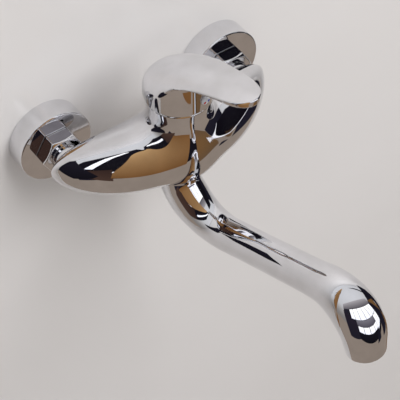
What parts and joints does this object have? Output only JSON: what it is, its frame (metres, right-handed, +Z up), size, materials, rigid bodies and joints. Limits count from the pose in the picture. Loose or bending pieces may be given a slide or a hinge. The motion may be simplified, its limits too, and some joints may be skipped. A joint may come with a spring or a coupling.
{
  "type": "wall-mounted kitchen tap",
  "caption": "Wall-mounted single-lever kitchen mixer tap with a winged body, round escutcheons and a long curved swivel spout.",
  "frame": {"origin": "on the finished wall plane, midway between the two inlet axes", "axes": "+X along the wall, +Y into the wall, +Z up"},
  "size_m": [0.209, 0.2722, 0.1782],
  "materials": {
    "chrome": "mirror-polished chrome plating",
    "brass": "machined",
    "rubber": "matt",
    "ceramic": "lapped",
    "plastic": "moulded",
    "steel": "plain",
    "index_plug": "glossy",
    "mark_hot": "glossy",
    "mark_cold": "glossy"
  },
  "bodies": {
    "body": {"mixer_body": "chrome", "escutcheon_left": "chrome", "escutcheon_right": "chrome", "union_nut_left": "chrome", "union_nut_right": "chrome", "cover_ring": "chrome", "inlet_nipple_left": "chrome", "inlet_nipple_right": "chrome", "s_union_left": "brass", "s_union_right": "brass", "cartridge_nut": "brass", "base_seals": "rubber", "filter_washer_left": "rubber", "filter_washer_right": "rubber", "fixed_ceramic_disc": "ceramic", "cartridge_housing": "plastic", "cartridge_base": "plastic", "spout_grub_screw": "steel", "strainer_left": "steel", "strainer_right": "steel"},
    "swivel": {"swivel_sleeve": "plastic", "stem_pin": "steel"},
    "lever": {"lever_handle": "chrome", "cartridge_stem": "brass", "lever_set_screw": "steel", "index_plug": "index_plug", "index_mark_hot": "mark_hot", "index_mark_cold": "mark_cold"},
    "disc": {"moving_ceramic_disc": "ceramic", "disc_carrier": "plastic"},
    "spout": {"spout_tube": "chrome", "spout_nipple": "brass", "spout_o_rings": "rubber", "spout_glide_ring": "plastic", "aerator_housing": "chrome", "aerator_insert": "plastic", "aerator_mesh": "steel", "aerator_washer": "rubber"}
  },
  "joints": [
    {"name": "temperature_swivel", "type": "hinge", "parent": "body", "child": "swivel", "pos_m": [0, -0.0632, 0.05], "axis": [0, 0, 1], "range_deg": [-57, 33]},
    {"name": "lever_lift", "type": "hinge", "parent": "swivel", "child": "lever", "pos_m": [0, -0.0632, 0.05], "axis": [-0.9781, -0.2079, 0], "range_deg": [0, 20]},
    {"name": "disc_slide", "type": "slide", "parent": "swivel", "child": "disc", "axis": [0.2079, -0.9781, 0], "range_m": [0, 0.00344]},
    {"name": "spout_swivel", "type": "hinge", "parent": "body", "child": "spout", "pos_m": [0, -0.0632, -0.031], "axis": [0, 0, 1], "range_deg": [-102, 78]}
  ],
  "couplings": [
    {"joint": "disc_slide", "follows": "lever_lift", "m_per_rad": 0.0098}
  ]
}
